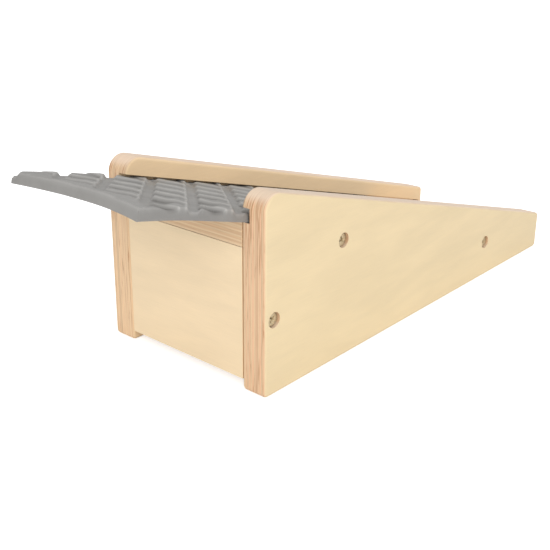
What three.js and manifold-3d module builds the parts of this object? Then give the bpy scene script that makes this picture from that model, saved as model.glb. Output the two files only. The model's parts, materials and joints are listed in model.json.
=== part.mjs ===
// Slant board for one foot: a plywood wedge with a rubber relief mat on its sloping deck.
//
// Two side panels stand on the floor. An end panel closes the high end between them, and the
// deck slopes down from it to the floor. Each side panel has a groove along its inner face,
// just above the deck, and the mat's long edges run in these two grooves. Six wood screws hold
// the panels, sunk below the outer faces.
//
// Millimetres, +Z up, floor at Z = 0. +X runs downhill from the high end to the low end, and
// Y = 0 is the middle of the board. The origin lies on the floor, halfway along the board with
// its mat drawn out. The shapes are drawn in the board's own frame, where X = 0 is the high end.

import * as THREE from 'three';
import { mergeVertices } from 'three/addons/utils/BufferGeometryUtils.js';
import Module from 'manifold-3d';

const wasm = await Module();
wasm.setup();

// Driving dimensions.

const BOARD_LENGTH = 360;
const BOARD_WIDTH = 137;
const HIGH_END_HEIGHT = 129.5; // top line of a side panel, carried on to the high end face
const LOW_END_HEIGHT = 30.5; // the same line at the low end face

const SIDE_THICKNESS = 18;
const PANEL_THICKNESS = 15; // deck and end panel
const JOINT_GAP = 0.3; // between pieces that bear on each other
const EDGE_ROUND = 2.2; // round along every edge of a side panel
const TOE_CORNER = 11; // side panel outline, upper corner at the high end
const SMALL_CORNER = 3.6; // its other corners

const LIP_HEIGHT = 12.8; // wood left above the groove, measured upright
const GROOVE_HEIGHT = 8.5; // square to the slope
const GROOVE_DEPTH = 6.3;
const GROOVE_END_WALL = 5; // wood left between the groove and the low end face

const END_PANEL_SETBACK = 0.8; // behind the side panels' high end faces
const END_PANEL_CLEARANCE = 7.2; // above the floor
const DECK_CLEARANCE = 1.5; // above the floor, where the deck is planed flat at the low end

const MAT_WIDTH = 111;
const MAT_OVERHANG = 79; // beyond the high end face, measured along the floor
const MAT_BASE = 4.6; // sheet under the ribs
const MAT_THICKNESS = 7.8; // sheet and ribs
const RIB_PITCH = 35.4; // along the mat's long edge
const RIB_FOOT = 27; // width of a rib on the sheet, along the long edge
const RIB_CROWN = 22; // width of its flat top

const END_SCREW_HEIGHT = 49.2; // above the floor
const HIGH_DECK_SCREW = 74; // deck screws, from the high end face
const LOW_DECK_SCREW = 264;
const SCREW_LENGTH = 45;
const SHANK_RADIUS = 2.1;
const TIP_LENGTH = 5.25;
const HEAD_RADIUS = 4.2;
const HEAD_RIM = 0.4; // upright rim of the countersunk head
const SCREW_BELOW_DECK = 6.3; // deck screws, below the deck's upper face, measured upright
const HEAD_SINK = 2.4; // head's face below the outer face of the side panel
const SINK_RADIUS = 5; // sink hole at the outer face
const DRIVE_WIDTH = 4.6; // cross recess in the head
const DRIVE_SLOT = 1.1;
const DRIVE_DEPTH = 2.2;
const DRIVE_TURN = Math.PI / 5; // how far each cross is left turned
const SCREW_SIDES = 32;

const CURVE_SEGMENTS = 8; // along each arc of an outline
const ROUND_SEGMENTS = 6; // across each rounded edge
const OVERRUN = 1; // how far a cutter stands proud of the face it starts from
const GROOVE_RUN_OUT = 36; // the same, where the groove leaves the high end at a slant
const WELD_GAP = 1e-4;

const PLYWOOD = { color: 0xeddab2, roughness: 0.55, metalness: 0 };
const RUBBER = { color: 0x9a9994, roughness: 0.85, metalness: 0 };
const STEEL = { color: 0xb59a6a, roughness: 0.4, metalness: 0.9 };

// Sizes that follow from them.

const SLOPE = Math.atan2(HIGH_END_HEIGHT - LOW_END_HEIGHT, BOARD_LENGTH);
const INNER_WIDTH = BOARD_WIDTH - 2 * SIDE_THICKNESS;
const DECK_TOP = HIGH_END_HEIGHT - LIP_HEIGHT - GROOVE_HEIGHT / Math.cos(SLOPE); // at X = 0
const PANEL_UPRIGHT = PANEL_THICKNESS / Math.cos(SLOPE); // the deck's thickness, measured upright
const GROOVE_LENGTH = (BOARD_LENGTH - GROOVE_END_WALL) / Math.cos(SLOPE);
const MAT_OUT = MAT_OVERHANG / Math.cos(SLOPE); // length of mat beyond the high end
const MAT_LENGTH = GROOVE_LENGTH - GROOVE_HEIGHT / 2; // ends flush with the high end when pushed home
const ORIGIN_X = (BOARD_LENGTH - MAT_OVERHANG) / 2;

const deckTopAt = (x) => DECK_TOP - x * Math.tan(SLOPE);
const deckUndersideAt = (x) => deckTopAt(x) - PANEL_UPRIGHT;

// The screws of one side: where their axes cross the side panel.
const SCREWS = [
  { into: 'end_panel', x: END_PANEL_SETBACK + PANEL_THICKNESS / 2, z: END_SCREW_HEIGHT },
  { into: 'deck_high', x: HIGH_DECK_SCREW, z: deckTopAt(HIGH_DECK_SCREW) - SCREW_BELOW_DECK },
  { into: 'deck_low', x: LOW_DECK_SCREW, z: deckTopAt(LOW_DECK_SCREW) - SCREW_BELOW_DECK },
];

// Solids from closed geometries, and back.

function toSolid(geometry) {
  const bare = geometry.clone();
  bare.deleteAttribute('normal');
  bare.deleteAttribute('uv');
  const merged = mergeVertices(bare, WELD_GAP);
  return new wasm.Manifold(new wasm.Mesh({
    numProp: 3,
    vertProperties: new Float32Array(merged.getAttribute('position').array),
    triVerts: new Uint32Array(merged.getIndex().array),
  }));
}

function toGeometry(solid) {
  const { vertProperties, triVerts } = solid.getMesh();
  const geometry = new THREE.BufferGeometry();
  geometry.setAttribute('position', new THREE.BufferAttribute(vertProperties, 3));
  geometry.setIndex(new THREE.BufferAttribute(triVerts, 1));
  return geometry;
}

function cut(geometry, cutters) {
  const body = cutters.reduce((rest, cutter) => rest.subtract(toSolid(cutter)), toSolid(geometry));
  return toGeometry(body);
}

// Outline with one rounded corner at each point, taken anticlockwise.
function roundedOutline(corners) {
  const outline = new THREE.Shape();
  corners.forEach((corner, i) => {
    const here = new THREE.Vector2(corner.x, corner.z);
    const before = corners[(i + corners.length - 1) % corners.length];
    const after = corners[(i + 1) % corners.length];
    const back = new THREE.Vector2(before.x, before.z).sub(here).normalize();
    const ahead = new THREE.Vector2(after.x, after.z).sub(here).normalize();
    const halfAngle = Math.acos(back.dot(ahead)) / 2;
    const centre = back.clone().add(ahead).normalize()
      .multiplyScalar(corner.radius / Math.sin(halfAngle)).add(here);
    const reach = corner.radius / Math.tan(halfAngle);
    const start = here.clone().addScaledVector(back, reach).sub(centre);
    const end = here.clone().addScaledVector(ahead, reach).sub(centre);
    outline.absarc(centre.x, centre.y, corner.radius, start.angle(), end.angle(), false);
  });
  return outline;
}

// A profile drawn in the X-Z plane becomes a slab from y0 to y1, with its long edges rounded.
function slab(profile, y0, y1, round = 0) {
  const geometry = new THREE.ExtrudeGeometry(profile, {
    depth: y1 - y0 - 2 * round,
    curveSegments: CURVE_SEGMENTS,
    bevelEnabled: round > 0,
    bevelThickness: round,
    bevelSize: round,
    bevelOffset: -round,
    bevelSegments: ROUND_SEGMENTS,
  });
  geometry.translate(0, 0, round);
  geometry.rotateX(Math.PI / 2);
  geometry.translate(0, y1, 0);
  return geometry;
}

// The polygon through these points, in the X-Z plane.
function polygon(points) {
  return new THREE.Shape(points.map(([x, z]) => new THREE.Vector2(x, z)));
}

// From the deck's frame (x down the slope, z square to it, zero on the deck's upper high edge).
function onDeck(geometry) {
  geometry.rotateY(SLOPE);
  geometry.translate(0, 0, DECK_TOP);
  return geometry;
}

// Turned body on the axis of one screw. Profile points are [radius, depth] from the deepest
// outwards, and depth runs in from the outer face of the panel on this side (-1 left, 1 right).
function turned(points, screw, side) {
  const profile = points.map(([radius, depth]) => new THREE.Vector2(radius, -side * depth));
  const geometry = new THREE.LatheGeometry(side > 0 ? profile : profile.reverse(), SCREW_SIDES);
  geometry.translate(screw.x, side * BOARD_WIDTH / 2, screw.z);
  return geometry;
}

// Sink hole, countersink and shank hole, all clear of the screw by the joint gap.
function screwHole(screw, side) {
  const headEnd = HEAD_SINK + HEAD_RIM + HEAD_RADIUS - SHANK_RADIUS;
  return turned([
    [0, SCREW_LENGTH + HEAD_SINK + JOINT_GAP],
    [SHANK_RADIUS + JOINT_GAP, SCREW_LENGTH + HEAD_SINK - SHANK_RADIUS],
    [SHANK_RADIUS + JOINT_GAP, headEnd + JOINT_GAP],
    [HEAD_RADIUS + JOINT_GAP, HEAD_SINK + HEAD_RIM + JOINT_GAP],
    [SINK_RADIUS, 0],
    [SINK_RADIUS, -OVERRUN],
    [0, -OVERRUN],
  ], screw, side);
}

// The pieces.

function sidePanel(side) {
  const inner = side * INNER_WIDTH / 2;
  const outer = side * BOARD_WIDTH / 2;
  const outline = roundedOutline([
    { x: 0, z: 0, radius: SMALL_CORNER },
    { x: BOARD_LENGTH, z: 0, radius: SMALL_CORNER },
    { x: BOARD_LENGTH, z: LOW_END_HEIGHT, radius: SMALL_CORNER },
    { x: 0, z: HIGH_END_HEIGHT, radius: TOE_CORNER },
  ]);
  const board = slab(outline, Math.min(inner, outer), Math.max(inner, outer), EDGE_ROUND);

  const radius = GROOVE_HEIGHT / 2;
  const groove = new THREE.Shape();
  groove.moveTo(-GROOVE_RUN_OUT, GROOVE_HEIGHT);
  groove.lineTo(-GROOVE_RUN_OUT, 0);
  groove.absarc(GROOVE_LENGTH - radius, radius, radius, -Math.PI / 2, Math.PI / 2);
  const mouth = side * (INNER_WIDTH / 2 - OVERRUN);
  const floor = side * (INNER_WIDTH / 2 + GROOVE_DEPTH);
  const cutter = onDeck(slab(groove, Math.min(mouth, floor), Math.max(mouth, floor)));

  return cut(board, [cutter, ...SCREWS.map((screw) => screwHole(screw, side))]);
}

function holesBothSides(screws) {
  return screws.flatMap((screw) => [screwHole(screw, -1), screwHole(screw, 1)]);
}

function deck() {
  const half = INNER_WIDTH / 2 - JOINT_GAP;
  const planedFrom = (DECK_TOP - PANEL_UPRIGHT - DECK_CLEARANCE) / Math.tan(SLOPE);
  const highEnd = END_PANEL_SETBACK;
  const lowEnd = BOARD_LENGTH - END_PANEL_SETBACK;
  const profile = polygon([
    [highEnd, deckUndersideAt(highEnd)],
    [planedFrom, DECK_CLEARANCE],
    [lowEnd, DECK_CLEARANCE],
    [lowEnd, deckTopAt(lowEnd)],
    [highEnd, deckTopAt(highEnd)],
  ]);
  return cut(slab(profile, -half, half), holesBothSides(SCREWS.slice(1)));
}

function endPanel() {
  const half = INNER_WIDTH / 2 - JOINT_GAP;
  const front = END_PANEL_SETBACK;
  const back = END_PANEL_SETBACK + PANEL_THICKNESS;
  const profile = polygon([
    [front, END_PANEL_CLEARANCE],
    [back, END_PANEL_CLEARANCE],
    [back, deckUndersideAt(back) - JOINT_GAP],
    [front, deckUndersideAt(front) - JOINT_GAP],
  ]);
  return cut(slab(profile, -half, half), holesBothSides(SCREWS.slice(0, 1)));
}

// Rubber sheet with broad ribs that cross it at 45 degrees, in the deck's frame.
function reliefMat() {
  const half = MAT_WIDTH / 2;
  const outline = (z0, z1) => slab(polygon([[0, z0], [MAT_LENGTH, z0], [MAT_LENGTH, z1], [0, z1]]), -half, half);
  const reach = half + RIB_FOOT;
  const firstRib = (RIB_PITCH - MAT_WIDTH) / 2; // a channel runs out at the mat's high right corner
  const ribProfile = polygon([
    [-RIB_FOOT / 2, MAT_BASE / 2],
    [RIB_FOOT / 2, MAT_BASE / 2],
    [RIB_FOOT / 2, MAT_BASE],
    [RIB_CROWN / 2, MAT_THICKNESS],
    [-RIB_CROWN / 2, MAT_THICKNESS],
    [-RIB_FOOT / 2, MAT_BASE],
  ]);
  const lean = new THREE.Matrix4().makeShear(0, 0, 1, 0, 0, 0); // x grows with y: 45 degrees in plan
  let ribs = null;
  for (let x = firstRib; x < MAT_LENGTH + MAT_WIDTH; x += RIB_PITCH) {
    const rib = slab(ribProfile, -reach, reach);
    rib.applyMatrix4(lean);
    rib.translate(x, 0, 0);
    ribs = ribs ? ribs.add(toSolid(rib)) : toSolid(rib);
  }
  const trimmed = ribs.intersect(toSolid(outline(0, MAT_THICKNESS)));
  const geometry = toGeometry(toSolid(outline(0, MAT_BASE)).add(trimmed));
  geometry.translate(-MAT_OUT, 0, JOINT_GAP);
  return geometry;
}

// Countersunk wood screw with a cross recess, its thread left plain.
function woodScrew(screw, side) {
  const tip = HEAD_SINK + SCREW_LENGTH;
  const body = turned([
    [0, tip],
    [SHANK_RADIUS, tip - TIP_LENGTH],
    [SHANK_RADIUS, HEAD_SINK + HEAD_RIM + HEAD_RADIUS - SHANK_RADIUS],
    [HEAD_RADIUS, HEAD_SINK + HEAD_RIM],
    [HEAD_RADIUS, HEAD_SINK],
    [0, HEAD_SINK],
  ], screw, side);
  const slots = [0, Math.PI / 2].map((turn) => {
    const slot = slab(polygon([
      [-DRIVE_WIDTH / 2, -OVERRUN],
      [-DRIVE_WIDTH / 2, 0],
      [-DRIVE_SLOT, DRIVE_DEPTH],
      [DRIVE_SLOT, DRIVE_DEPTH],
      [DRIVE_WIDTH / 2, 0],
      [DRIVE_WIDTH / 2, -OVERRUN],
    ].reverse()), -DRIVE_SLOT / 2, DRIVE_SLOT / 2);
    slot.rotateX(side * Math.PI / 2);
    slot.rotateY(turn + DRIVE_TURN);
    slot.translate(screw.x, side * (BOARD_WIDTH / 2 - HEAD_SINK), screw.z);
    return slot;
  });
  return cut(body, slots);
}

// The assembly.

function piece(name, geometry, finish) {
  const mesh = new THREE.Mesh(geometry, new THREE.MeshStandardMaterial(finish));
  mesh.name = name;
  return mesh;
}

const board = new THREE.Group();
board.position.x = -ORIGIN_X;
board.add(piece('side_panel_left', sidePanel(-1), PLYWOOD));
board.add(piece('side_panel_right', sidePanel(1), PLYWOOD));
board.add(piece('end_panel', endPanel(), PLYWOOD));
board.add(piece('deck_board', deck(), PLYWOOD));

const mat = piece('relief_mat', reliefMat(), RUBBER);
mat.position.z = DECK_TOP;
mat.rotation.y = SLOPE;
board.add(mat);

for (const [label, side] of [['left', -1], ['right', 1]]) {
  for (const screw of SCREWS) {
    board.add(piece(`screw_${label}_${screw.into}`, woodScrew(screw, side), STEEL));
  }
}

const slantBoard = new THREE.Group();
slantBoard.add(board);

export default slantBoard;
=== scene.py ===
"""Looks of a plywood slant board for one foot, with its rubber relief mat drawn out over the high end.

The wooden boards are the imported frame's own solids, with plies and grain that run through them as solid
textures. The mat and the six screws are new meshes that stand for plainer CAD solids.
Everything is in metres in the frame's axes, except that shader, relief and screw sizes are in millimetres.
"""

import json
import math

import bpy
import numpy as np
from mathutils import Matrix, Vector


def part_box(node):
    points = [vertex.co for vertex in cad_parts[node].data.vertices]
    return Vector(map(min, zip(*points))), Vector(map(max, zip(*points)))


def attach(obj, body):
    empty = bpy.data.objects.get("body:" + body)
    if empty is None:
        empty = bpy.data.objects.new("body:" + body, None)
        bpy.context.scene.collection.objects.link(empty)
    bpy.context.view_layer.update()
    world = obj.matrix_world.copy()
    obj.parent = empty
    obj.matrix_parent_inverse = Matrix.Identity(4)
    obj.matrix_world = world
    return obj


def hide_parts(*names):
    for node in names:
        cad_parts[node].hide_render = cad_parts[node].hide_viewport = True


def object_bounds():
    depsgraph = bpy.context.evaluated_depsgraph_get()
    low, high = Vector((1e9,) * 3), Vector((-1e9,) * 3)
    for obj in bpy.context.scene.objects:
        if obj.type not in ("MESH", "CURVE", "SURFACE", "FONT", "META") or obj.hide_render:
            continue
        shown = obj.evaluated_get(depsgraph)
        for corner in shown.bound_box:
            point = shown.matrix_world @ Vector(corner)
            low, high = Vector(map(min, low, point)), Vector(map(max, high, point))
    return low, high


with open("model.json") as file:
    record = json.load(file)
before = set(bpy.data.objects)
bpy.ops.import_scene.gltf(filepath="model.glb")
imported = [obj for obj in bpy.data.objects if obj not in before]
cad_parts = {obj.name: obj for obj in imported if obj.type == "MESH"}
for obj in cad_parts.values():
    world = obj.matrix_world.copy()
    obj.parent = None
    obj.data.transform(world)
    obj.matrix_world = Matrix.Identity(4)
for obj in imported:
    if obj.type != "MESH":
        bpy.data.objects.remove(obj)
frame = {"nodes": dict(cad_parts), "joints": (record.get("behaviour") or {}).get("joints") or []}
cad_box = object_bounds()

MM = 0.001

# The deck's slope comes from the joint: the mat slides uphill along it.
UPHILL = Vector(frame["joints"][0]["axis"]).normalized()
DOWNHILL = -UPHILL
ACROSS = Vector((0, 1, 0))
DECK_UP = DOWNHILL.cross(ACROSS)
ALONG = Vector((1, 0, 0))
UP = Vector((0, 0, 1))
DECK_AXES = np.array([DOWNHILL, ACROSS, DECK_UP])

# Plywood. Contrast is how strongly the plies and the glue between them show on a board's edges.
SIDE_PLIES = 13
INNER_PLIES = 11
SIDE_CONTRAST = 1.4
INNER_CONTRAST = 0.3
UNEVEN_PLIES = 1.6  # how far glue lines wander, in plies
CLEAN_BELOW = 62.0  # upright edges turn from clean to grubby between these heights, in millimetres
GRUBBY_ABOVE = 107.0
WELD_GAP = 0.01 * MM
SHARP_ANGLE = math.radians(35)
EASED_EDGE = 0.12 * MM

# The mat, in millimetres.
MAT_CELL = 0.75  # of its mesh
MAT_BASE = 4.6  # sheet under the relief
MAT_LIFT = 0.2  # above the CAD mat's underside
UNDERSIDE_WAVE = 0.5
UNDERSIDE_MARGIN = 4.0
EDGE_RADIUS = 1.3
RIM_ANGLE = math.radians(40)

# Its blocks lie in rows between diagonal channels.
BLOCK_PITCH = 25.8
BLOCK_HEIGHT = 2.5
BLOCK_WAVE = 0.15
CHANNEL_ANGLE = math.radians(43.3)  # from straight across the mat
CHANNEL_SHIFT = 0.72
CHANNEL_FLOOR = 3.7
CHANNEL_SIDE = 2.45
FREE_END_RIM = 3.0  # channels are filled up to here from the free end, and open fully over the margin
FILLED_MARGIN = 16.0
FAR_EDGE_BAND = 18.0  # but beside the far edge they stay open
FAR_EDGE_FADE = 12.0
PRESSED_SHARE = 0.5  # and are shallower where the far groove presses on them
PRESSED_FADE = 8.0

# Steps cross the rows. Face and top end at these shares of the step pitch from the steep face's foot.
STEP_PITCH = 25.0
STEP_FACE = 0.07
STEP_TOP = 0.36
STEP_CURVE = 1.2
CREST_BEND = 5.0
CREST_BEND_START = 0.62  # as a share of the block pitch, like the next one
CREST_BEND_WIDTH = 0.3
CREST_WAVE = 1.2
CREST_WANDER = 0.8
CREST_SLANT = 0.35
ROW_SHIFT = 3.0
RELIEF_SEED = 11
RANDOM_SIZE = 64  # random values repeat after so many rows and steps, which is more than the mat has

# Behind each crest the block falls away into a trench, deepest on its uphill side towards the near edge.
TRENCH_DEPTH = 1.6
TRENCH_SPREAD = 0.35
FAR_TRENCH_SHARE = 0.35  # of its depth at the far edge itself
FAR_TRENCH_FADE = 9.0
HOLLOW_DEPTH = 2.0
HOLLOW_WIDTH = 0.66  # as a share of the block pitch, like the next one
HOLLOW_FADE = 0.3
HOLLOW_INSET = 12.0
FAR_HOLLOW_SHARE = 0.2
POCKET_DEPTH = 1.2
POCKET_SPREAD = 0.25
POCKET_WIDTH = 0.56  # as a share of the block pitch, like the next one
POCKET_SIDE = 0.2
POCKET_RIM = 4.0
POCKET_WALL = 5.0
POCKET_REACH = 32.0
POCKET_FADE = 12.0
PLAIN_RIM = 4.0  # steps are nearly flat up to here from the free end, and full after the margin
PLAIN_MARGIN = 26.0
PLAIN_SHARE = 0.15
# Painted shade, deepest in the trenches and pockets.
SHADE_FULL_DEPTH = 2.9
SHADE_CURVE = 1.4
POCKET_SHADE = 0.9
# Painted highlight along the crests and the downhill rims.
HIGHLIGHT_CREST = 0.03  # behind the steep face, as a share of the step pitch, like the next one
HIGHLIGHT_WIDTH = 0.07
HIGHLIGHT_RIM_WIDTH = 1.3
RIM_HIGHLIGHT_SHARE = 0.8

# How the free end hangs: most at the far corner, a little at the near one.
MIDDLE_SAG = 0.1
FAR_CORNER_SAG = 3.2
FAR_SAG_CURVE = 1.3
NEAR_CORNER_SAG = 1.6
NEAR_SAG_CURVE = 3.5
NEAR_RISE = 0.5
END_SKEW = 1.0

# Screws, in millimetres. Their places and lengths come from the frame, but the heads stand a little prouder.
HEAD_RADIUS = 4.2
HEAD_RIM = 0.4
HEAD_RISE = 0.7
HEAD_DOME = 0.25
HEAD_CHAMFER_WIDTH = 0.15
HEAD_CHAMFER_DEPTH = 0.12
HEAD_RINGS = 36
SHANK_RADIUS = 1.65
THREAD_RADIUS = 2.25
THREAD_PITCH = 2.1
THREAD_STEP = 0.35
THREAD_HALF_WIDTH = 0.22  # of its ridge, as a share of the thread's pitch
PLAIN_SHANK = 1.0
TIP_LENGTH = 5.0
RECESS_SPAN = 2.3
RECESS_HALF_WIDTH = 0.62
RECESS_DEPTH = 2.2
RECESS_END_SLOPE = 1.8
RECESS_WALL_SLOPE = 9.0
SCREW_SIDES = 96

# The camera's place, from the bottom of the near side panel's high end.
CAMERA_AZIMUTH = math.radians(-49.05)
CAMERA_ELEVATION = math.radians(19.17)
CAMERA_ROLL = math.radians(0.38)
CAMERA_DISTANCE = 482.8 * MM
CAMERA_AIM = Vector((0, -7.3, 108.1)) * MM
CAMERA_LENS = 57.57
CAMERA_SENSOR = 36
CAMERA_SHIFT_Y = -0.08

# Light: white surroundings, two large lamps, and a floor that glows like a light table, but only for the
# camera. A lamp's place is from the board's middle.
WORLD_LIGHT = 0.75
FLOOR_REACH = 6.0
FLOOR_GLOW = 0.6
LEFT_LAMP = Vector((-1.2, -0.9, 0.7))
LEFT_SIZE = 1.2
LEFT_WATTS = 10
RIGHT_LAMP = Vector((1.3, -0.9, 0.9))
RIGHT_SIZE = 1.0
RIGHT_WATTS = 2


def add(name, data):
    """A new object in the scene that shows this mesh, lamp or camera."""
    made = bpy.data.objects.new(name, data)
    bpy.context.scene.collection.objects.link(made)
    return made


# ---------------------------------------------------------------- shader helpers


def srgb(red, green, blue):
    """A colour from 0 to 255 as a person reads it, as the linear colour a shader takes."""
    linear = []
    for level in (red, green, blue):
        share = level / 255
        linear.append(share / 12.92 if share <= 0.04045 else ((share + 0.055) / 1.055) ** 2.4)
    return (*linear, 1.0)


class Shader:
    """A new material and the nodes behind it. A value is a number, a colour or another node's output."""

    def __init__(self, name):
        self.material = bpy.data.materials.new(name)
        self.material.use_nodes = True
        self.tree = self.material.node_tree
        self.surface = self.tree.nodes["Principled BSDF"]
        coordinates = self.node("TexCoord")
        self.normal = coordinates.outputs["Normal"]
        self.place = self.scaled(coordinates.outputs["Object"], (1 / MM, 1 / MM, 1 / MM))

    def node(self, kind, inputs=None, **settings):
        made = self.tree.nodes.new("ShaderNode" + kind)
        for name, setting in settings.items():
            setattr(made, name, setting)
        for name, value in (inputs or {}).items():
            self.put(made.inputs[name], value)
        return made

    def put(self, socket, value):
        if isinstance(value, bpy.types.NodeSocket):
            self.tree.links.new(value, socket)
        elif isinstance(value, tuple):
            socket.default_value = value[: len(socket.default_value)]
        else:
            socket.default_value = value

    def set(self, **values):
        """Sets inputs of the surface shader, with _ for each space in their names."""
        for name, value in values.items():
            self.put(self.surface.inputs[name.replace("_", " ")], value)

    def math(self, operation, *values):
        made = self.node("Math", operation=operation)
        for socket, value in zip(made.inputs, values):
            self.put(socket, value)
        return made.outputs[0]

    def times(self, first, second):
        return self.math("MULTIPLY", first, second)

    def scaled(self, vector, factors):
        return self.node("VectorMath", {0: vector, 1: factors}, operation="MULTIPLY").outputs[0]

    def dot(self, vector, axis):
        made = self.node("VectorMath", {0: vector, 1: tuple(axis)}, operation="DOT_PRODUCT")
        return made.outputs["Value"]

    def vector(self, x, y, z):
        return self.node("CombineXYZ", {"X": x, "Y": y, "Z": z}).outputs[0]

    def noise(self, vector, scale=1.0, detail=2.0, roughness=0.5, distortion=0.0):
        inputs = {"Vector": vector, "Scale": scale, "Detail": detail, "Roughness": roughness}
        inputs["Distortion"] = distortion
        return self.node("TexNoise", inputs).outputs["Fac"]

    def speckle(self, scales, **settings):
        """Noise over the piece, with this many features per millimetre along each axis."""
        return self.noise(self.scaled(self.place, scales), **settings)

    def held(self, value, low, high):
        return self.node("Clamp", {"Value": value, "Min": low, "Max": high}).outputs[0]

    def between(self, value, low, high, new_low=0.0, new_high=1.0):
        """Maps low..high to new_low..new_high with a soft start and end, and holds the ends."""
        inputs = {"Value": value, "From Min": low, "From Max": high}
        inputs.update({"To Min": new_low, "To Max": new_high})
        return self.node("MapRange", inputs, interpolation_type="SMOOTHSTEP").outputs[0]

    def either(self, factor, first, second):
        """Number first where factor is 0 and second where it is 1."""
        return self.node("Mix", {0: factor, 2: first, 3: second}, data_type="FLOAT").outputs[0]

    def blend(self, factor, first, second):
        """Colour first where factor is 0 and second where it is 1."""
        return self.node("Mix", {0: factor, 6: first, 7: second}, data_type="RGBA").outputs[2]

    def toned(self, colour, value):
        """The colour with its brightness multiplied by value."""
        return self.node("VectorMath", {0: colour, "Scale": value}, operation="SCALE").outputs[0]

    def attribute(self, name):
        return self.node("Attribute", attribute_name=name).outputs["Fac"]

    def openness(self, reach, only_local):
        """1 in the open, less where surfaces close in. only_local leaves other pieces out of account."""
        made = self.node("AmbientOcclusion", {"Distance": reach}, samples=4, only_local=only_local)
        return made.outputs["AO"]

    def crevice(self, reach):
        """Near 1 in a hole or an inner corner of the same piece, 0 in the open."""
        return self.between(self.openness(reach, True), 0.55, 0.95, 1.0, 0.0)

    def contact(self, reach):
        """Near 1 where any surface is close in front of this one, 0 in the open."""
        return self.between(self.openness(reach, False), 0.1, 0.6, 1.0, 0.0)

    def edge(self, radius):
        """1 along outer and inner edges, fading to 0 at about the radius from them."""
        rounded = self.node("Bevel", {"Radius": radius}, samples=6).outputs[0]
        flat = self.node("NewGeometry").outputs["Normal"]
        facing = self.node("VectorMath", {0: rounded, 1: flat}, operation="DOT_PRODUCT").outputs["Value"]
        return self.between(self.math("SUBTRACT", 1.0, facing), 0.0, 0.25)

    def finish(self, colour, roughness, height, depth, metallic=0.0):
        """Plugs the looks in. height is 0 to 1 and depth its full travel in metres."""
        bump = self.node("Bump", {"Height": height, "Distance": depth, "Strength": 1.0})
        self.set(Base_Color=colour, Roughness=roughness, Metallic=metallic, Normal=bump.outputs[0])
        return self.material


# ---------------------------------------------------------------- materials


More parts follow.
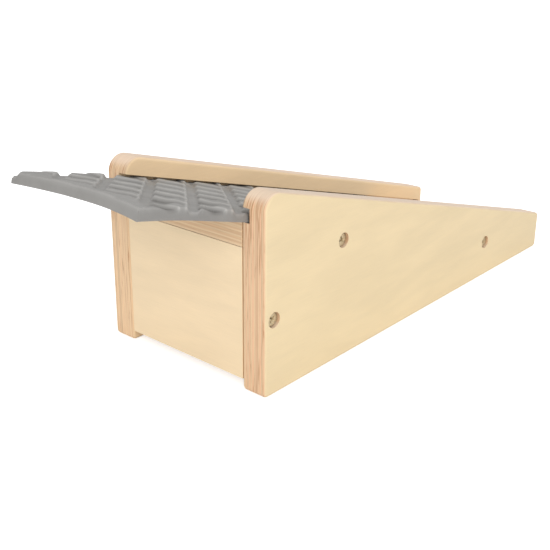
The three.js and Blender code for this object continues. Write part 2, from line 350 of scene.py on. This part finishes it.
def plywood(name, ply_axis, grain_axis, start, thickness, plies, face, edge_colour, contrast):
    """Birch plywood through and through. Plies stack along ply_axis from start, and turn about in grain.

    contrast is how strongly the plies and the glue between them show on the board's edges.
    """
    shade = Shader(name)
    cross_axis = ply_axis.cross(grain_axis)
    ply = thickness / plies
    depth = shade.math("SUBTRACT", shade.dot(shade.place, ply_axis), start)
    uneven = shade.math("SUBTRACT", shade.noise(shade.vector(depth, start, 0.0), scale=0.45, detail=1.0), 0.5)
    layer = shade.math("MULTIPLY_ADD", uneven, UNEVEN_PLIES, shade.math("DIVIDE", depth, ply))
    layer = shade.held(layer, 0.01, plies - 0.01)
    index = shade.math("FLOOR", layer)
    turned = shade.math("FLOORED_MODULO", index, 2.0)
    along = shade.dot(shade.place, grain_axis)
    across = shade.dot(shade.place, cross_axis)
    grain = shade.either(turned, along, across)
    cross = shade.either(turned, across, along)
    # Each ply is cut from another part of the tree.
    shifted = shade.math("MULTIPLY_ADD", index, 37.0, cross)
    level = shade.math("MULTIPLY_ADD", index, 11.0, depth)

    def stretched(length, width, thick, **settings):
        """Noise drawn out along the grain, with features of about these sizes in millimetres."""
        point = shade.vector(grain, shifted, level)
        return shade.noise(shade.scaled(point, (1 / length, 1 / width, 1 / thick)), **settings)

    facing = shade.either(
        turned,
        shade.math("ABSOLUTE", shade.dot(shade.normal, grain_axis)),
        shade.math("ABSOLUTE", shade.dot(shade.normal, cross_axis)),
    )
    ends = shade.between(facing, 0.45, 0.9)
    face_on = shade.math("ABSOLUTE", shade.dot(shade.normal, ply_axis))
    edge_on = shade.between(face_on, 0.55, 0.9, 1.0, 0.0)

    # Long grain: broad soft figure, fine fibres and a few short dark flecks.
    clouds = stretched(95.0, 22.0, 8.0, detail=3.0)
    contour = shade.math("SINE", shade.times(stretched(160.0, 30.0, 12.0, detail=1.0), 46.0))
    fibres = stretched(16.0, 0.45, 0.45, detail=4.0, roughness=0.6)
    flecks = shade.between(stretched(2.6, 0.32, 0.32, detail=1.0), 0.7, 0.78)
    tone = shade.between(clouds, 0.3, 0.7, 0.965, 1.03)
    tone = shade.times(tone, shade.math("MULTIPLY_ADD", contour, 0.008, 1.0))
    tone = shade.times(tone, shade.between(fibres, 0.25, 0.75, 0.975, 1.02))
    long_grain = shade.toned(face, tone)
    long_grain = shade.blend(shade.times(flecks, 0.16), long_grain, srgb(186, 144, 100))

    # End grain: darker and pinker, with pores and streaks that lie in the plane of the ply.
    pores = shade.speckle((2.2, 2.2, 2.2), detail=3.0, roughness=0.7)
    streak_point = shade.scaled(shade.vector(along, across, depth), (0.045, 0.045, 1.1))
    streaks = shade.noise(streak_point, detail=4.0, roughness=0.6, distortion=0.3)
    end_tone = shade.between(pores, 0.3, 0.7, 0.95, 1.04)
    rough_end = shade.toned(shade.blend(0.5, face, edge_colour), end_tone)
    wood = shade.blend(ends, long_grain, rough_end)

    # Upright edges are grubbier towards the top, where the board is carried. Edges that face up get a painted
    # sheen: paler, and their plies hardly show.
    carried = shade.between(shade.dot(shade.place, UP), CLEAN_BELOW, GRUBBY_ABOVE)
    upward = shade.between(shade.dot(shade.normal, UP), 0.35, 0.85)
    contrast = shade.either(upward, contrast, 0.15 * contrast)

    # Seen edge on, long-grain plies are a little darker too, and each ply has its own tone.
    own = shade.node("TexWhiteNoise", {"W": index}, noise_dimensions="1D").outputs["Value"]
    own_tone = shade.math("MULTIPLY_ADD", shade.math("MULTIPLY_ADD", own, 0.13, -0.09), contrast, 1.0)
    own_tone = shade.times(own_tone, shade.between(streaks, 0.3, 0.6, 1.04, 0.97))
    own_tone = shade.times(own_tone, shade.either(carried, 1.0, 0.94))
    edge_wood = shade.blend(shade.either(ends, 0.55, 0.8), wood, edge_colour)
    # Painted sheen: edges that face up turn paler.
    painted_sheen = shade.blend(0.6, face, srgb(252, 228, 212))
    edge_wood = shade.blend(shade.times(upward, 0.85), edge_wood, painted_sheen)
    wood = shade.blend(edge_on, wood, shade.toned(edge_wood, own_tone))

    # Brown streaks, and brown glue between the plies.
    streaked = shade.times(shade.between(streaks, shade.either(carried, 0.54, 0.46), 0.7), edge_on)
    streaked = shade.times(streaked, shade.times(contrast, 0.65))
    wood = shade.blend(streaked, wood, srgb(190, 138, 100))
    share = shade.math("FRACT", layer)
    to_glue = shade.times(shade.math("MINIMUM", share, shade.math("SUBTRACT", 1.0, share)), ply)
    glue = shade.times(shade.between(to_glue, 0.03, 0.16, 1.0, 0.0), edge_on)
    glue = shade.times(glue, shade.times(contrast, 0.4))
    wood = shade.blend(glue, wood, srgb(176, 122, 82))

    # Painted shade: edge surfaces in drilled holes, grooves and inner corners are darker where the board
    # closes in.
    crevice_shade = shade.times(shade.crevice(7 * MM), edge_on)
    wood = shade.blend(shade.times(crevice_shade, 0.9), wood, srgb(156, 132, 100))

    # Handling rubs the varnish along the edges: a touch paler and duller.
    worn = shade.times(shade.edge(1.6 * MM), shade.between(clouds, 0.35, 0.65, 0.25, 1.0))
    wood = shade.blend(shade.times(worn, 0.12), wood, srgb(250, 232, 206))
    roughness = shade.math("ADD", shade.between(fibres, 0.2, 0.8, 0.42, 0.54), shade.times(ends, 0.12))
    roughness = shade.math("MULTIPLY_ADD", worn, 0.1, roughness)
    shade.set(Specular_IOR_Level=0.4, Coat_Weight=0.2, Coat_Roughness=0.3)
    return shade.finish(wood, roughness, shade.either(ends, fibres, pores), 0.05 * MM)


def rubber():
    """Matt moulded rubber: slightly mottled, with a painted highlight on crests and painted shade in its deep
    places.
    """
    shade = Shader("moulded_rubber")
    grit = shade.speckle((3.4, 3.4, 3.4), detail=4.0, roughness=0.65)
    blotches = shade.speckle((0.045, 0.045, 0.045), detail=3.0)
    smears = shade.speckle((0.03, 0.35, 0.35))
    painted_highlight = shade.attribute("painted_highlight")
    painted_hollow_shade = shade.attribute("painted_hollow_shade")
    level = shade.math("ABSOLUTE", shade.dot(shade.normal, DECK_UP))
    upright = shade.between(level, 0.15, 0.4, 1.0, 0.0)
    tone = shade.between(blotches, 0.3, 0.7, 0.95, 1.05)
    tone = shade.times(tone, shade.between(grit, 0.3, 0.7, 0.96, 1.04))
    # Painted shade deep in the trenches and pockets.
    colour = shade.blend(shade.times(painted_hollow_shade, 0.8), srgb(160, 158, 155), srgb(100, 97, 93))
    # Painted highlight along crests and downhill rims.
    colour = shade.blend(shade.times(painted_highlight, 0.8), colour, srgb(198, 196, 192))
    # Painted shade: faces that stand up from the deck are darker.
    colour = shade.toned(shade.blend(upright, colour, srgb(146, 144, 141)), tone)

    # Painted shade: darker wherever the wood or the mat itself closes in within a few millimetres.
    colour = shade.blend(shade.times(shade.contact(3 * MM), 0.85), colour, srgb(40, 34, 30))
    dull = shade.between(smears, 0.3, 0.7, 0.62, 0.8)
    roughness = shade.math("SUBTRACT", dull, shade.times(painted_highlight, 0.1))
    shade.set(Specular_IOR_Level=0.35)
    return shade.finish(colour, roughness, grit, 0.07 * MM)


def dulled_zinc():
    """Yellow zinc plate that has dulled, with painted shade in the cross recess and other hollow places."""
    shade = Shader("dulled_yellow_zinc")
    cloud = shade.speckle((0.9, 0.9, 0.9), detail=3.0)
    scratches = shade.speckle((5.0, 5.0, 0.8))
    pointed = shade.node("NewGeometry").outputs["Pointiness"]
    recess_shade = shade.between(pointed, 0.4, 0.49, 1.0, 0.0)
    colour = shade.blend(shade.between(cloud, 0.3, 0.7), srgb(222, 204, 168), srgb(196, 180, 144))
    # Painted shade in the cross recess and other hollow places.
    colour = shade.blend(shade.times(recess_shade, 0.9), colour, srgb(70, 54, 40))
    roughness = shade.between(scratches, 0.3, 0.7, 0.34, 0.5)
    return shade.finish(colour, roughness, scratches, 0.02 * MM, metallic=0.4)


def floor_paint():
    """A plain, near-white studio floor with a trace of mottle."""
    shade = Shader("studio_floor")
    mottle = shade.speckle((0.004, 0.004, 0.004))
    colour = shade.toned(srgb(247, 247, 247), shade.between(mottle, 0.3, 0.7, 0.995, 1.0))
    seen = shade.node("LightPath").outputs["Is Camera Ray"]
    shade.set(Emission_Color=(1.0, 1.0, 1.0, 1.0), Emission_Strength=shade.times(seen, FLOOR_GLOW))
    return shade.finish(colour, 0.9, mottle, 0.01 * MM)


# ---------------------------------------------------------------- the boards


def slope_box(node):
    """Lowest and highest corner of a CAD node in the deck's own axes: downhill, across and up from it."""
    points = np.array([vertex.co for vertex in frame["nodes"][node].data.vertices])
    turned = points @ DECK_AXES.T
    return Vector(turned.min(0)), Vector(turned.max(0))


def dress_board(node, material, eased):
    """Gives a CAD board its material, smooth round edges and, where asked, slightly eased sharp ones."""
    board = frame["nodes"][node]
    mesh = board.data
    for name in ("custom_normal", "sharp_edge", "sharp_face"):
        if name in mesh.attributes:
            mesh.attributes.remove(mesh.attributes[name])
    mesh.shade_smooth()
    for socket in board.material_slots:
        socket.material = material
    weld = board.modifiers.new("weld", "WELD")
    weld.merge_threshold = WELD_GAP
    if eased:
        bevel = board.modifiers.new("eased_edges", "BEVEL")
        bevel.width = EASED_EDGE
        bevel.segments = 2
        bevel.limit_method = "ANGLE"
        bevel.angle_limit = SHARP_ANGLE
    split = board.modifiers.new("sharp_edges", "EDGE_SPLIT")
    split.split_angle = SHARP_ANGLE
    split.use_edge_sharp = False
    board.modifiers.new("flat_faces", "WEIGHTED_NORMAL")


def dress_side_panels():
    veneers = (
        ("left", -1, srgb(238, 216, 174), srgb(236, 192, 154)),
        ("right", 1, srgb(251, 220, 177), srgb(238, 202, 162)),
    )
    for side, outward, face, edge_colour in veneers:
        node = "side_panel_" + side
        low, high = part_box(node)
        start = -max(abs(low.y), abs(high.y)) / MM
        thickness = (high.y - low.y) / MM
        inward = Vector((0, -outward, 0))
        look = (SIDE_PLIES, face, edge_colour, SIDE_CONTRAST)
        dress_board(node, plywood("birch_" + side, inward, ALONG, start, thickness, *look), eased=False)


def dress_inner_boards():
    look = (INNER_PLIES, srgb(245, 221, 183), srgb(226, 188, 146), INNER_CONTRAST)
    low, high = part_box("end_panel")
    thickness = (high.x - low.x) / MM
    material = plywood("birch_end", ALONG, ACROSS, low.x / MM, thickness, *look)
    dress_board("end_panel", material, eased=True)
    low, high = slope_box("deck_board")
    thickness = (high.z - low.z) / MM
    material = plywood("birch_deck", DECK_UP, ACROSS, low.z / MM, thickness, *look)
    dress_board("deck_board", material, eased=True)


# ---------------------------------------------------------------- the mat


def smooth(value):
    """0 below 0, 1 above 1 and a soft step between."""
    held = np.clip(value, 0, 1)
    return held * held * (3 - 2 * held)


def at_least(low, share):
    """From low to 1 as share goes from 0 to 1."""
    return low + (1 - low) * share


def near(distance, reach):
    """1 where the distance is 0, falling evenly to 0 at the reach on either side."""
    return np.clip(1 - np.abs(distance) / reach, 0, 1)


def ripple(x, y, seed, wavelengths):
    """A gentle uneven surface from -1 to 1: the mean of one sine per wavelength, in seeded directions."""
    random = np.random.default_rng(seed)
    total = np.zeros_like(x)
    for wavelength in wavelengths:
        angle, phase = random.uniform(0, 2 * np.pi, 2)
        total += np.sin((x * np.cos(angle) + y * np.sin(angle)) * 2 * np.pi / wavelength + phase)
    return total / len(wavelengths)


def relief(u, v, overhang, half_width):
    """Height of the moulded top above the mat's base, how much a point belongs to a block, painted highlight
    and painted shade.

    u is the distance from the free end and v the distance from the middle line, both in millimetres. v grows
    towards the far edge. Channels run at CHANNEL_ANGLE from straight across, downhill and towards the far
    edge, and one starts near the far free corner. Share is a place across a block, from its uphill channel
    to its downhill one. The steps that cross a block have a steep face that looks uphill, a level top and a
    long fall behind it.
    """
    random = np.random.default_rng(RELIEF_SEED)
    row_shifts = ROW_SHIFT * random.uniform(-1, 1, RANDOM_SIZE)
    block_draws = random.uniform(-1, 1, (RANDOM_SIZE, RANDOM_SIZE))

    # Rows of blocks between the channels.
    along = u * np.sin(CHANNEL_ANGLE) + v * np.cos(CHANNEL_ANGLE)
    across = u * np.cos(CHANNEL_ANGLE) + (half_width - v) * np.sin(CHANNEL_ANGLE) - CHANNEL_SHIFT
    row = np.floor(across / BLOCK_PITCH)
    place = across - row * BLOCK_PITCH
    share = place / BLOCK_PITCH
    row = row.astype(int) % RANDOM_SIZE
    inside = np.minimum(place, BLOCK_PITCH - place) - CHANNEL_FLOOR / 2
    block = smooth(inside / CHANNEL_SIDE)
    at_far_edge = smooth((v - half_width + FAR_EDGE_BAND) / FAR_EDGE_FADE)
    opened = np.maximum(smooth((u - FREE_END_RIM) / FILLED_MARGIN), at_far_edge)
    pressed = PRESSED_SHARE * at_far_edge * smooth((u - overhang) / PRESSED_FADE)
    block = 1 - (1 - block) * opened * (1 - pressed)

    # Steps across the rows, each row's a little out of line with the next one's.
    bend = CREST_BEND * smooth((share - CREST_BEND_START) / CREST_BEND_WIDTH)
    bend = bend + CREST_WAVE * np.sin(2 * np.pi * share) + CREST_SLANT * BLOCK_PITCH * (share - 0.5)
    wander = CREST_WANDER * ripple(u, v, 3, (31.0, 47.0, 64.0))
    step = (along + bend + wander + row_shifts[row]) / STEP_PITCH
    cell = np.floor(step)
    step = step - cell
    uneven = block_draws[row, cell.astype(int) % RANDOM_SIZE]
    fallen = np.clip((step - STEP_TOP) / (1 - STEP_TOP), 0, 1) ** STEP_CURVE + 1 - smooth(step / STEP_FACE)

    # Depths behind the steps, and of the pockets beside the near edge.
    from_far_edge = smooth((half_width - v) / FAR_TRENCH_FADE)
    grown = smooth((u - PLAIN_RIM) / PLAIN_MARGIN)
    trench = TRENCH_DEPTH * (1 + TRENCH_SPREAD * uneven) * at_least(FAR_TRENCH_SHARE, from_far_edge)
    to_near_edge = smooth((half_width - HOLLOW_INSET - v) / (2 * half_width))
    hollow = smooth((HOLLOW_WIDTH - share) / HOLLOW_FADE) * (FAR_HOLLOW_SHARE + to_near_edge)
    trench = (trench + HOLLOW_DEPTH * hollow * from_far_edge) * at_least(PLAIN_SHARE, grown)
    from_near_edge = v + half_width
    pocket = smooth((POCKET_REACH - from_near_edge) / POCKET_FADE)
    pocket = pocket * smooth((from_near_edge - POCKET_RIM) / POCKET_WALL)
    pocket = pocket * smooth((POCKET_WIDTH - share) / POCKET_SIDE)
    pocket = pocket * block * opened * at_least(1 - POCKET_SPREAD, uneven)
    wave = BLOCK_WAVE * ripple(u, v, 5, (19.0, 28.0, 43.0))
    height = BLOCK_HEIGHT - trench * fallen - POCKET_DEPTH * pocket + wave

    # Painted highlight along crests and downhill sides, and painted shade deep in the trenches and pockets.
    crest = block * near(step - STEP_FACE - HIGHLIGHT_CREST, HIGHLIGHT_WIDTH)
    downhill_side = near(inside - CHANNEL_SIDE, HIGHLIGHT_RIM_WIDTH) * (share > 0.5)
    painted_highlight = np.maximum(crest, RIM_HIGHLIGHT_SHARE * downhill_side) * grown
    painted_hollow_shade = block * np.clip(trench * fallen / SHADE_FULL_DEPTH, 0, 1) ** SHADE_CURVE
    painted_hollow_shade = np.maximum(painted_hollow_shade, POCKET_SHADE * pocket)
    return block * height, block, painted_highlight, painted_hollow_shade


def rounded_edge(distance):
    """How far a rounded edge falls at this distance in from the mat's outline."""
    reach = np.clip(EDGE_RADIUS - distance, 0, EDGE_RADIUS)
    return EDGE_RADIUS - np.sqrt(EDGE_RADIUS**2 - reach**2)


def hang(u, v, overhang, half_width):
    """How far the rubber hangs past the deck's edge: most at the far corner, less at the near one.

    A little way in from the near corner it rises slightly instead.
    """
    free = np.clip(1 - u / overhang, 0, 1) ** 2
    free_near = np.clip(1 - 2 * u / overhang, 0, 1) ** 2
    side = v / half_width
    far = FAR_CORNER_SAG * np.clip(side, 0, 1) ** FAR_SAG_CURVE
    nearness = np.clip(-side, 0, 1)
    near_corner = NEAR_CORNER_SAG * nearness**NEAR_SAG_CURVE - NEAR_RISE * np.sin(np.pi * nearness)
    return free * (MIDDLE_SAG + far) + free_near * near_corner


def mat_surface(u, v, overhang, length, half_width):
    """Top and bottom heights of the mat above the deck, in millimetres, and the top's painted highlight and
    painted shade.
    """
    height, block, painted_highlight, painted_hollow_shade = relief(u, v, overhang, half_width)
    to_edge = np.minimum(np.minimum(u, length - u), half_width - np.abs(v))
    floor = MAT_LIFT - hang(u, v, overhang, half_width)
    bottom = floor + UNDERSIDE_WAVE * (1 - block) * smooth(to_edge / UNDERSIDE_MARGIN)
    top = floor + MAT_BASE + height - rounded_edge(to_edge)
    return top, bottom, painted_highlight, painted_hollow_shade


def grid_faces(first, rows, columns, flip):
    """Quads over a grid of vertices that starts at index first."""
    corner = first + np.arange(rows - 1)[:, None] * columns + np.arange(columns - 1)
    quads = np.stack([corner, corner + columns, corner + columns + 1, corner + 1], axis=-1).reshape(-1, 4)
    if flip:
        quads = quads[:, ::-1]
    return [tuple(quad) for quad in quads.tolist()]


def outline(first, rows, columns):
    """Indices round the edge of a grid, in order."""
    grid = first + np.arange(rows * columns).reshape(rows, columns)
    return np.concatenate([grid[:-1, 0], grid[-1, :-1], grid[:0:-1, -1], grid[0, :0:-1]]).tolist()


def relief_mat():
    """The rubber mat as one closed mesh: a fine top, a bottom at half its detail and upright edges."""
    low, high = slope_box("relief_mat")
    length, width = (high.x - low.x) / MM, (high.y - low.y) / MM
    half_width = width / 2
    rows = 2 * round(length / MAT_CELL / 2) + 1
    columns = 2 * round(width / MAT_CELL / 2) + 1
    down, sideways = np.linspace(0, length, rows), np.linspace(-half_width, half_width, columns)
    u, v = np.meshgrid(down, sideways, indexing="ij")
    overhang = (slope_box("deck_board")[0].x - low.x) / MM
    top, bottom, painted_highlight, painted_hollow_shade = mat_surface(u, v, overhang, length, half_width)

    # The free end is a little out of square. That dies out over the first third of the length.
    skewed = u + END_SKEW * v / half_width * np.clip(1 - u / length * 3, 0, 1)

    def placed(height, step):
        points = np.stack([skewed, v + half_width, height], axis=-1)[::step, ::step].reshape(-1, 3) * MM
        return (points + np.array(low)) @ DECK_AXES

    points = np.concatenate([placed(top, 1), placed(bottom, 2)])
    top_grid = (0, rows, columns)
    bottom_grid = (rows * columns, (rows + 1) // 2, (columns + 1) // 2)
    faces = grid_faces(*top_grid, flip=False) + grid_faces(*bottom_grid, flip=True)
    fine_ring, coarse_ring = outline(*top_grid), outline(*bottom_grid)
    for place, start in enumerate(coarse_ring):
        end = coarse_ring[(place + 1) % len(coarse_ring)]
        fine = [fine_ring[(2 * place + extra) % len(fine_ring)] for extra in (2, 1, 0)]
        faces.append((start, end, *fine))

    mesh = bpy.data.meshes.new("rubber_relief_mat")
    mesh.from_pydata(points.tolist(), [], faces)
    mesh.validate()
    mesh.shade_smooth()
    for name, share in (("painted_highlight", painted_highlight), ("painted_hollow_shade", painted_hollow_shade)):
        values = np.zeros(len(points), dtype=np.float32)
        values[: rows * columns] = share.ravel()
        mesh.attributes.new(name, "FLOAT", "POINT").data.foreach_set("value", values)
    mesh.materials.append(rubber())
    mat = add("rubber_relief_mat", mesh)
    split = mat.modifiers.new("sharp_edges", "EDGE_SPLIT")
    split.split_angle = RIM_ANGLE
    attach(mat, "mat")
    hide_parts("relief_mat")


# ---------------------------------------------------------------- the screws


def recess_depth(x, y):
    """Depth of the cross recess at a point of the head, with arms that narrow as they go down."""
    depth = np.zeros_like(x)
    for long_way, short_way in ((x, y), (y, x)):
        end = (RECESS_SPAN - np.abs(long_way)) * RECESS_END_SLOPE
        wall = (RECESS_HALF_WIDTH - np.abs(short_way)) * RECESS_WALL_SLOPE
        depth = np.maximum(depth, np.clip(np.minimum(end, wall), 0, RECESS_DEPTH))
    return depth


def screw_rings(length):
    """Radius, depth and thread share of each ring of a screw, from the head's middle to the tip."""
    rings = []
    for place in range(1, HEAD_RINGS + 1):
        radius = (HEAD_RADIUS - HEAD_CHAMFER_WIDTH) * place / HEAD_RINGS
        rings.append((radius, HEAD_DOME * (radius / HEAD_RADIUS) ** 2, 0.0))
    rings.append((HEAD_RADIUS, HEAD_DOME + HEAD_CHAMFER_DEPTH, 0.0))
    rings.append((HEAD_RADIUS, HEAD_DOME + HEAD_RIM, 0.0))
    cone_end = HEAD_DOME + HEAD_RIM + HEAD_RADIUS - SHANK_RADIUS
    rings.append((SHANK_RADIUS, cone_end, 0.0))
    thread_start = cone_end + PLAIN_SHANK
    count = round((length - thread_start) / THREAD_STEP)
    for place in range(count):
        depth = thread_start + (length - thread_start) * place / count
        left = min(1.0, (length - depth) / TIP_LENGTH)
        grown = min(1.0, place * THREAD_STEP / THREAD_PITCH)
        rings.append((SHANK_RADIUS * left, depth, grown * left))
    return rings


def thread_height(depth, turn):
    """The thread's sharp ridge, 0 to 1, at a depth and an angle given as a share of a turn."""
    return near((depth / THREAD_PITCH - turn) % 1.0 - 0.5, THREAD_HALF_WIDTH)


def screw_points(rings, length, drive_turn):
    """Points of a screw that runs along y from its head at the origin: middle, rings, tip."""
    angle = np.arange(SCREW_SIDES) * 2 * np.pi / SCREW_SIDES
    cos, sin = math.cos(drive_turn), math.sin(drive_turn)
    points = [(0.0, float(recess_depth(np.zeros(1), np.zeros(1))[0]), 0.0)]
    for radius, depth, thread in rings:
        ridge = (THREAD_RADIUS - SHANK_RADIUS) * thread * thread_height(depth, angle / (2 * np.pi))
        x, z = (radius + ridge) * np.cos(angle), (radius + ridge) * np.sin(angle)
        drop = np.zeros_like(x)
        if depth <= HEAD_DOME:
            drop = recess_depth(x * cos - z * sin, x * sin + z * cos)
        points += list(zip(x.tolist(), (depth + drop).tolist(), z.tolist()))
    points.append((0.0, length, 0.0))
    return points


def screw_faces(ring_count):
    """Faces over the points of a screw, that look outwards when it is driven in towards -y."""
    faces = []
    last = 1 + (ring_count - 1) * SCREW_SIDES
    tip = last + SCREW_SIDES
    for spot in range(SCREW_SIDES):
        after = (spot + 1) % SCREW_SIDES
        faces.append((0, 1 + after, 1 + spot))
        for first in range(1, last, SCREW_SIDES):
            second = first + SCREW_SIDES
            faces.append((first + spot, first + after, second + after, second + spot))
        faces.append((last + spot, last + after, tip))
    return faces


def wood_screw(node, drive_turn, finish):
    """A countersunk wood screw with a cross recess and a helical thread, in the place of its CAD node."""
    low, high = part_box(node)
    side = 1 if low.y > 0 else -1
    length = (high.y - low.y) / MM
    outermost = max(abs(low.y), abs(high.y)) + HEAD_RISE * MM
    head = Vector(((low.x + high.x) / 2, outermost * side, (low.z + high.z) / 2))
    rings = screw_rings(length)
    points = screw_points(rings, length, drive_turn)
    placed = [(head.x + x * MM, head.y - side * y * MM, head.z + z * MM) for x, y, z in points]
    faces = screw_faces(len(rings))
    if side < 0:
        faces = [face[::-1] for face in faces]
    mesh = bpy.data.meshes.new("threaded_" + node)
    mesh.from_pydata(placed, [], faces)
    mesh.validate()
    mesh.shade_smooth()
    mesh.materials.append(finish)
    screw = add("threaded_" + node, mesh)
    split = screw.modifiers.new("sharp_edges", "EDGE_SPLIT")
    split.split_angle = SHARP_ANGLE
    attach(screw, "frame")
    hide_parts(node)


def wood_screws():
    """All six screws, each left with its cross at a turn of its own."""
    finish = dulled_zinc()
    random = np.random.default_rng(5)
    for node in sorted(frame["nodes"]):
        if node.startswith("screw_"):
            wood_screw(node, float(random.uniform(0, math.pi / 2)), finish)


# ---------------------------------------------------------------- the studio


def studio_floor():
    mesh = bpy.data.meshes.new("floor")
    corners = [(x * FLOOR_REACH, y * FLOOR_REACH, 0) for x, y in ((-1, -1), (1, -1), (1, 1), (-1, 1))]
    mesh.from_pydata(corners, [], [(0, 1, 2, 3)])
    mesh.materials.append(floor_paint())
    add("floor", mesh)


def turn_towards(holder, direction, roll=0.0):
    """Points a lamp or camera along a direction, rolled about it."""
    holder.rotation_mode = "QUATERNION"
    rolled = Matrix.Rotation(roll, 4, "Z").to_quaternion()
    holder.rotation_quaternion = direction.to_track_quat("-Z", "Y") @ rolled


def soft_light(name, offset, middle, size, power):
    """A large square lamp at this offset from the board's middle, which it looks at."""
    lamp = bpy.data.lights.new(name, "AREA")
    lamp.size = size
    lamp.energy = power
    holder = add(name, lamp)
    holder.location = middle + offset
    turn_towards(holder, -offset)


def studio_lights(middle):
    """White surroundings, one large lamp on the high end's side and a weaker one on the low end's."""
    world = bpy.data.worlds.new("studio")
    world.use_nodes = True
    tree = world.node_tree
    path = tree.nodes.new("ShaderNodeLightPath")
    strength = tree.nodes.new("ShaderNodeMapRange")
    strength.inputs["To Min"].default_value = WORLD_LIGHT
    strength.inputs["To Max"].default_value = 1.0
    tree.links.new(path.outputs["Is Camera Ray"], strength.inputs["Value"])
    background = tree.nodes["Background"]
    background.inputs["Color"].default_value = (1, 1, 1, 1)
    tree.links.new(strength.outputs[0], background.inputs["Strength"])
    bpy.context.scene.world = world
    soft_light("left", LEFT_LAMP, middle, LEFT_SIZE, LEFT_WATTS)
    soft_light("right", RIGHT_LAMP, middle, RIGHT_SIZE, RIGHT_WATTS)
    bpy.context.scene.view_settings.view_transform = "Standard"


def camera():
    aim = Vector(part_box("side_panel_left")[0]) + CAMERA_AIM
    level = math.cos(CAMERA_ELEVATION)
    east, south = math.sin(CAMERA_AZIMUTH) * level, -math.cos(CAMERA_AZIMUTH) * level
    back = Vector((east, south, math.sin(CAMERA_ELEVATION)))
    lens = bpy.data.cameras.new("camera")
    lens.lens = CAMERA_LENS
    lens.sensor_width = CAMERA_SENSOR
    lens.shift_y = CAMERA_SHIFT_Y
    holder = add("camera", lens)
    holder.location = aim + back * CAMERA_DISTANCE
    turn_towards(holder, -back, CAMERA_ROLL)
    bpy.context.scene.camera = holder


dress_side_panels()
dress_inner_boards()
relief_mat()
wood_screws()
studio_floor()
studio_lights((cad_box[0] + cad_box[1]) / 2)
camera()
